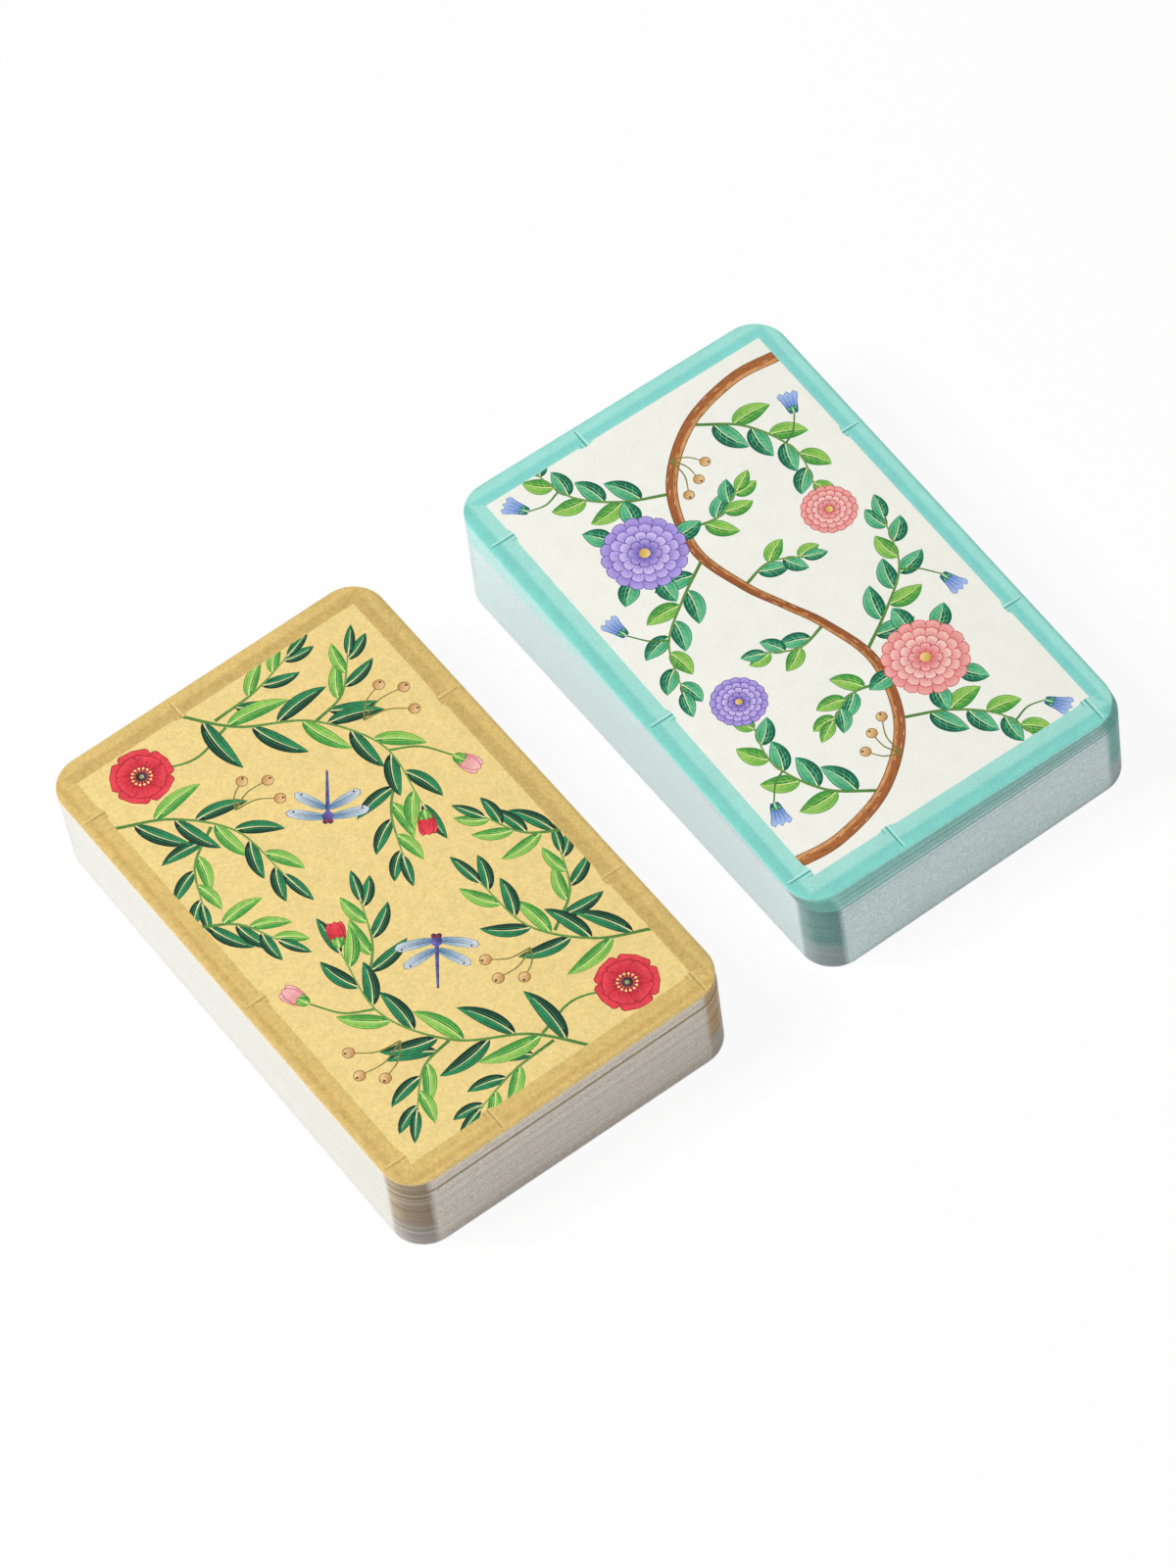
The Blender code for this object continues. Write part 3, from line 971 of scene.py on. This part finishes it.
def card_shell(back, edge, face, centre, turn, foot, thick, places):
    """One card as arrays: the back's sheet, the rings of the cut edge down from it, and the face's sheet.
    A back's point z goes to centre + turn z, and a face's, seen from below, to centre + turn mirrored z."""
    around = 4 * CORNER_POINTS
    rings = [card_outline(inset) for _, inset, _ in EDGE_RINGS[1:-1]]
    levels = [share for share, _, _ in EDGE_RINGS[1:-1]]
    flat = np.concatenate([back.points] + rings + [-face.points.conj()])
    counts = [len(back.points)] + [around] * len(rings) + [len(face.points)]
    height = np.repeat([1.0] + levels + [0.0], counts)
    placed = centre + turn * flat
    verts = np.stack([placed.real, placed.imag, foot + thick * height], -1) * MM
    step = np.arange(around)
    face_start = len(flat) - len(face.points)
    ring_verts = [step] + [len(back.points) + around * k + step for k in range(len(rings))]
    ring_verts.append(face_start + (around // 2 - 1 - step) % around)
    upper = np.stack(ring_verts[:-1])
    lower = np.stack(ring_verts[1:])
    wall = np.stack([upper, lower, np.roll(lower, -1, 1), np.roll(upper, -1, 1)], -1).reshape(-1, 4)
    ahead = np.roll(edge, -1, 1)
    wall_inks = np.stack([edge, edge, ahead, ahead], 2)
    loops = np.concatenate([back.triangles.ravel(), wall.ravel(), (face.triangles + face_start).ravel()])
    faces = [len(back.triangles), len(wall), len(face.triangles)]
    sides = np.repeat([3, 4, 3], faces)
    finish = np.repeat([0, 1, 2], faces)
    back_inks, face_inks = (np.insert(sheet.inks.reshape(-1, 3), 3, 1.0, 1) for sheet in (back, face))
    inks = np.concatenate([back_inks, wall_inks.reshape(-1, 4), face_inks])
    return verts, loops, sides, finish, inks, np.concatenate([place.reshape(-1, 2) for place in places])


def card_piece(name, shells, materials):
    """A mesh piece out of one or more card shells, with the inks as a colour attribute of its corners."""
    starts = np.cumsum([0] + [len(shell[0]) for shell in shells[:-1]])
    verts = np.concatenate([shell[0] for shell in shells])
    loops = np.concatenate([shell[1] + start for shell, start in zip(shells, starts)])
    sides, finish, inks, places = (np.concatenate([shell[k] for shell in shells]) for k in (2, 3, 4, 5))
    mesh = bpy.data.meshes.new(name)
    mesh.vertices.add(len(verts))
    mesh.vertices.foreach_set("co", verts.astype(np.float32).ravel())
    mesh.loops.add(len(loops))
    mesh.loops.foreach_set("vertex_index", loops.astype(np.int32))
    mesh.polygons.add(len(sides))
    mesh.polygons.foreach_set("loop_start", np.concatenate([[0], np.cumsum(sides)[:-1]]).astype(np.int32))
    mesh.polygons.foreach_set("material_index", finish.astype(np.int32))
    mesh.update(calc_edges=True)
    colours = mesh.attributes.new("ink", "FLOAT_COLOR", "CORNER")
    colours.data.foreach_set("color", inks.astype(np.float32).ravel())
    texture = mesh.uv_layers.new(name="OFBake")
    texture.uv.foreach_set("vector", places.astype(np.float32).ravel())
    for material in materials:
        mesh.materials.append(material)
    piece = bpy.data.objects.new(name, mesh)
    bpy.context.scene.collection.objects.link(piece)
    return piece


# Materials

# Where nearly all values of a noise lie, for MapRange's first sockets
NOISE_RANGE = {1: 0.3, 2: 0.7}
# How much more patches and grain show, from white paper to black ink
INK_DENSITY = {1: 0.92, 2: 0.05, 3: 0.35, 4: 1.6}
ROUGHNESS_SPREAD = 0.05
# The noises of a cut edge, as mottled takes them
CUT_FIBRES = ((0.7, 0.05, 2.0), (0.22, 0.22, 2.0))
WHITE = (1.0, 1.0, 1.0, 1.0)


def add_node(tree, kind, settings=None, links=None):
    """A new node: settings go to its properties or its sockets, and links are the sockets that feed it, or
    the nodes whose first sockets do."""
    made = tree.nodes.new("ShaderNode" + kind)
    for name, value in (settings or {}).items():
        if isinstance(name, str) and hasattr(made, name):
            setattr(made, name, value)
        else:
            made.inputs[name].default_value = value
    for name, source in (links or {}).items():
        socket = source.outputs[0] if isinstance(source, bpy.types.Node) else source
        tree.links.new(socket, made.inputs[name])
    return made


def new_material(name):
    """An empty node material and its nodes."""
    material = bpy.data.materials.new(name)
    material.use_nodes = True
    material.node_tree.nodes.clear()
    return material, material.node_tree


def mottled(tree, inked, weight, noises):
    """Ink times 1 + weight (one noise + the other). A noise is given as the size of its features in
    millimetres, its depth and its detail, and goes from minus to plus its depth. Gives the colour, and the
    two noises."""
    place = add_node(tree, "TexCoord").outputs["Object"]
    made = []
    shifts = []
    for size, depth, detail in noises:
        features = {"Scale": 1 / (size * MM), "Detail": detail}
        made.append(add_node(tree, "TexNoise", features, {"Vector": place}))
        shifts.append(add_node(tree, "MapRange", {**NOISE_RANGE, 3: -depth, 4: depth}, {0: made[-1]}))
    both = add_node(tree, "Math", {"operation": "ADD"}, {0: shifts[0], 1: shifts[1]})
    tone = add_node(tree, "Math", {"operation": "MULTIPLY_ADD", 2: 1.0}, {0: both, 1: weight})
    return add_node(tree, "VectorMath", {"operation": "SCALE"}, {"Vector": inked, "Scale": tone}), made


def coated_print(name, patch, patch_depth, grain, grain_depth, roughness):
    """Aqueous-coated offset print on card: a satin sheet whose ink lies in soft patches with a fine grain.
    The ink comes from the sheet's own colours. Patches and grain make it a little lighter and darker, more
    so where the ink is dense, and the coating is a little duller in some patches than in others."""
    material, tree = new_material(name)
    inked = add_node(tree, "Attribute", {"attribute_name": "ink"})
    light = add_node(tree, "RGBToBW", {}, {"Color": inked})
    dense = add_node(tree, "MapRange", INK_DENSITY, {0: light})
    noises = ((patch, patch_depth, 2.0), (grain, grain_depth, 1.0))
    colour, (cloud, tooth) = mottled(tree, inked, dense, noises)
    gloss = {3: roughness - ROUGHNESS_SPREAD, 4: roughness + ROUGHNESS_SPREAD}
    dull = add_node(tree, "MapRange", {**NOISE_RANGE, **gloss}, {0: cloud})
    relief = add_node(tree, "Bump", {"Strength": 0.25, "Distance": 0.01 * MM}, {"Height": tooth})
    shader = add_node(tree, "BsdfPrincipled", {"IOR": 1.5, "Specular IOR Level": 0.22}, {
        "Base Color": colour, "Roughness": dull, "Normal": relief,
    })
    add_node(tree, "OutputMaterial", {}, {"Surface": shader})
    return material


def cut_paper(name):
    """Die-cut edge of laminated paper: matt, with the pale and dark specks of cut fibres, fewer where the
    cut is clean. Real fibres are 0.02 mm thick. Their specks are drawn ten times coarser, so they show."""
    material, tree = new_material(name)
    # The edge's ink also carries its painted shade and highlights
    edge = add_node(tree, "Attribute", {"attribute_name": "ink"})
    colour, (_, specks) = mottled(tree, edge, edge.outputs["Alpha"], CUT_FIBRES)
    relief = add_node(tree, "Bump", {"Strength": 0.4, "Distance": 0.03 * MM}, {"Height": specks})
    shader = add_node(tree, "BsdfPrincipled", {"IOR": 1.45, "Roughness": 0.85}, {
        "Base Color": colour, "Normal": relief,
    })
    add_node(tree, "OutputMaterial", {}, {"Surface": shader})
    return material


# The decks

# Prints as coated_print takes them, and the seed of all that strays
BACK_PRINTS = {
    "gold": ("gold_leaf_print", 2.0, 0.052, 0.42, 0.115, 0.42),
    "teal": ("cream_ground_print", 2.5, 0.055, 0.45, 0.065, 0.42),
}
FACE_PRINT = ("white_face_print", 6.0, 0.020, 0.5, 0.025, 0.4)
SEED = 54


def make_deck(deck, faces, face_print, edge, draw):
    """All pieces of a deck: one for each single card, and one of thirteen cards for each packet. A packet's
    cards go over evenly from its own lowest card's place and turn to those of the card above the packet."""
    materials = (coated_print(*BACK_PRINTS[deck]), edge, face_print)
    full, plain, bare = (back_sheet(deck, detail) for detail in ("full", "plain", "bare"))
    order = draw.permutation(DECK_CARDS)
    number = 0
    packets = [f"{deck}_lower_packet", f"{deck}_upper_packet"]
    singles = [f"{deck}_card_{n:02d}" for n in range(LAST_IN_PACKETS + 1, DECK_CARDS + 1)]
    lays = [node_lay(node) for node in packets + singles]
    for node, lay, above in zip(packets + singles, lays, lays[1:] + lays[-1:]):
        count = PACKET_CARDS if node in packets else 1
        thick = lay.head - lay.foot - (count - 1) * CARD_PITCH
        shells = []
        for k in range(count):
            number += 1
            strays = draw.normal(0, STRAY, 2)
            centre = lay.centre + (above.centre - lay.centre) * k / count + strays[0] + 1j * strays[1]
            turn = lay.turn * (above.turn / lay.turn) ** (k / count)
            turn *= np.exp(1j * np.radians(draw.normal(0, STRAY_TURN)))
            # A card's edge tone and ink, which on some cards are painted shade of the gaps between cards
            tone, rubbed_ink_and_gap_shade = EDGE_LINES[deck].get(number, (1.0, 0.0))
            tone *= 1 + draw.normal(0, STRAY_TONE[deck])
            edge_print = edge_inks(deck, number, tone, rubbed_ink_and_gap_shade, 1 + draw.normal(0, STRAY_PUNCH[deck]))
            back = full if number in FULL_PRINTS else bare if number <= LAST_IN_PACKETS else plain
            face = faces[order[number - 1]]
            foot = lay.foot + k * CARD_PITCH
            places = (
                print_places(back, BACK_PATCH if k == count - 1 else HIDDEN_PATCH),
                edge_places(k, count),
                print_places(face, FACE_PATCH if k == 0 else HIDDEN_PATCH),
            )
            shells.append(card_shell(back, edge_print, face, centre, turn, foot, thick, places))
        piece = card_piece("printed_" + node, shells, materials)
        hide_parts(node)
        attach(piece, node)


def make_decks():
    """Both decks, with the same faces."""
    draw = np.random.default_rng(SEED)
    faces = [face_sheet(number) for number in range(DECK_CARDS)]
    face_print = coated_print(*FACE_PRINT)
    edge = cut_paper("die_cut_paper_edge")
    for deck in DECKS:
        make_deck(deck, faces, face_print, edge, draw)


# The stage

FLOOR_SIZE = 6.0
FLOOR_DROP = 0.0001
# How much of the floor's white is its own towards the camera: the rest is light on it, which keeps the
# shadow. From the near to the far distance from the decks' middle it goes over to white alone, so that no
# horizon shows
FLOOR_GLOW = 0.92
FLOOR_NEAR = 0.2
FLOOR_FAR = 0.7
FLOOR_PAINT = "#f6f6f6"
# Lamps as (azimuth, elevation, distance, size, power): a broad soft key from the far left, and a weak fill
# from the near side
LAMPS = {
    "key": (-118.0, 50.0, 1.1, 0.5, 10.2),
    "fill": (12.0, 24.0, 1.1, 0.9, 2.0),
}
SKY_LIGHT = 0.28


def seen_by_camera(tree):
    """1 for rays that show a background: from the camera, in a reflection or through glass."""
    path = add_node(tree, "LightPath").outputs
    rays = {0: path["Is Camera Ray"], 1: path["Is Glossy Ray"]}
    mirror = add_node(tree, "Math", {"operation": "MAXIMUM"}, rays)
    return add_node(tree, "Math", {"operation": "MAXIMUM"}, {0: mirror, 1: path["Is Transmission Ray"]})


def white_floor_paint():
    """Matt white studio floor: it looks white to the camera, and takes light and shadow as matt paint."""
    material, tree = new_material("white_floor_paint")
    place = add_node(tree, "TexCoord").outputs["Object"]
    away = add_node(tree, "VectorMath", {"operation": "LENGTH"}, {0: place}).outputs["Value"]
    white = add_node(tree, "MapRange", {1: FLOOR_NEAR, 2: FLOOR_FAR, 3: FLOOR_GLOW, 4: 1.0}, {0: away})
    seen = add_node(tree, "Math", {"operation": "MULTIPLY"}, {0: seen_by_camera(tree), 1: white})
    matt = add_node(tree, "BsdfDiffuse", {"Color": (*ink(FLOOR_PAINT), 1.0)})
    glow = add_node(tree, "Emission", {"Color": WHITE, "Strength": 1.0})
    both = add_node(tree, "MixShader", {}, {0: seen, 1: matt, 2: glow})
    add_node(tree, "OutputMaterial", {}, {"Surface": both})
    return material


def make_floor():
    """A square floor just under the decks."""
    reach = FLOOR_SIZE / 2
    corners = [(-reach, -reach), (reach, -reach), (reach, reach), (-reach, reach)]
    mesh = bpy.data.meshes.new("floor")
    mesh.from_pydata([(x, y, -FLOOR_DROP) for x, y in corners], [], [(0, 1, 2, 3)])
    mesh.materials.append(white_floor_paint())
    floor = bpy.data.objects.new("floor", mesh)
    bpy.context.scene.collection.objects.link(floor)


def direction(azimuth, elevation):
    """From the object towards a place that looks at it: azimuth 0 is on the -Y side."""
    a, e = np.radians(azimuth), np.radians(elevation)
    return Vector((np.sin(a) * np.cos(e), -np.cos(a) * np.cos(e), np.sin(e)))


def make_lights():
    """The lamps, each turned to the decks, and an even weak sky."""
    for name, (azimuth, elevation, distance, size, power) in LAMPS.items():
        lamp = bpy.data.lights.new(name, "AREA")
        lamp.shape = "DISK"
        lamp.size = size
        lamp.energy = power
        placed = bpy.data.objects.new(name, lamp)
        bpy.context.scene.collection.objects.link(placed)
        towards = direction(azimuth, elevation)
        placed.location = towards * distance
        placed.rotation_euler = towards.to_track_quat("Z", "Y").to_euler()
    world = bpy.data.worlds.new("studio")
    bpy.context.scene.world = world
    world.use_nodes = True
    tree = world.node_tree
    tree.nodes.clear()
    sky = add_node(tree, "Background", {"Color": WHITE, "Strength": SKY_LIGHT})
    white = add_node(tree, "Background", {"Color": WHITE, "Strength": 1.0})
    both = add_node(tree, "MixShader", {}, {0: seen_by_camera(tree), 1: sky, 2: white})
    add_node(tree, "OutputWorld", {}, {"Surface": both})


def make_camera():
    """A long lens that looks down on the decks from the near left, a little tilted."""
    lens = bpy.data.cameras.new("camera")
    lens.lens = CAMERA_LENS
    camera = bpy.data.objects.new("camera", lens)
    bpy.context.scene.collection.objects.link(camera)
    back = direction(CAMERA_AZIMUTH, CAMERA_ELEVATION)
    roll = np.radians(CAMERA_ROLL)
    right = Vector((np.cos(np.radians(CAMERA_AZIMUTH)), np.sin(np.radians(CAMERA_AZIMUTH)), 0.0))
    up = back.cross(right)
    axes = (np.cos(roll) * right + np.sin(roll) * up, np.cos(roll) * up - np.sin(roll) * right, back)
    place = Matrix.Translation(CAMERA_TARGET + back * CAMERA_DISTANCE)
    camera.matrix_world = place @ Matrix(axes).transposed().to_4x4()
    bpy.context.scene.camera = camera


make_decks()
make_floor()
make_lights()
make_camera()
bpy.context.scene.view_settings.view_transform = "Standard"
